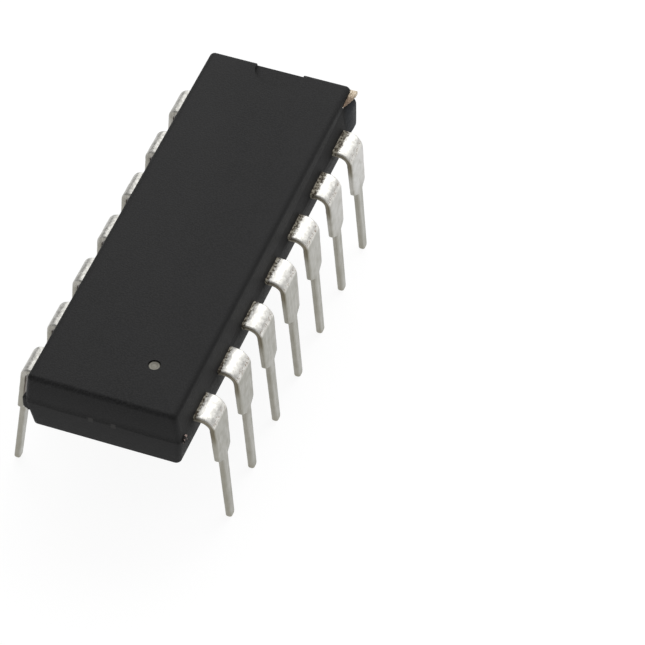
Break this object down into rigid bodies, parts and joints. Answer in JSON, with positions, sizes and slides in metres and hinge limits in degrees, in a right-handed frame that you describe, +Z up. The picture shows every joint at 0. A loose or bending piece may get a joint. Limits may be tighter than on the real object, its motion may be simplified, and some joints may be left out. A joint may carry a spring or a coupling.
{
  "type": "integrated circuit",
  "caption": "Dual in-line integrated circuit in a black moulded case, with two rows of bent tin-plated leads, an end notch and an index dot.",
  "frame": {"origin": "under the middle of the case, level with the lead tips", "axes": "+X along the case, away from the notched end; +Y across it, towards leads 8 to 14; +Z up, out of the top of the case"},
  "size_m": [0.0194, 0.0092, 0.0071],
  "materials": {
    "case": "fine-grained moulded epoxy",
    "dot": "dull ink",
    "lead": "satin tin plate, dull and dirty at the roots",
    "rail": "bare torn copper alloy",
    "inner_strip": "bare copper alloy",
    "glue": "silver-filled glue",
    "silicon": "polished silicon",
    "wire": "gold wire"
  },
  "bodies": {
    "root": {"moulded_case": "case", "index_dot": "dot", "lead_01": "lead", "lead_02": "lead", "lead_03": "lead", "lead_04": "lead", "lead_05": "lead", "lead_06": "lead", "lead_07": "lead", "lead_08": "lead", "lead_09": "lead", "lead_10": "lead", "lead_11": "lead", "lead_12": "lead", "lead_13": "lead", "lead_14": "lead", "rail_stub_far_left": "rail", "rail_stub_far_right": "rail", "rail_stub_near_left": "rail", "rail_stub_near_right": "rail", "torn_rail_sliver": "rail", "die_paddle": "inner_strip", "die_bond_layer": "glue", "silicon_die": "silicon", "bond_wire_01": "wire", "bond_wire_02": "wire", "bond_wire_03": "wire", "bond_wire_04": "wire", "bond_wire_05": "wire", "bond_wire_06": "wire", "bond_wire_07": "wire", "bond_wire_08": "wire", "bond_wire_09": "wire", "bond_wire_10": "wire", "bond_wire_11": "wire", "bond_wire_12": "wire", "bond_wire_13": "wire", "bond_wire_14": "wire"}
  },
  "joints": []
}
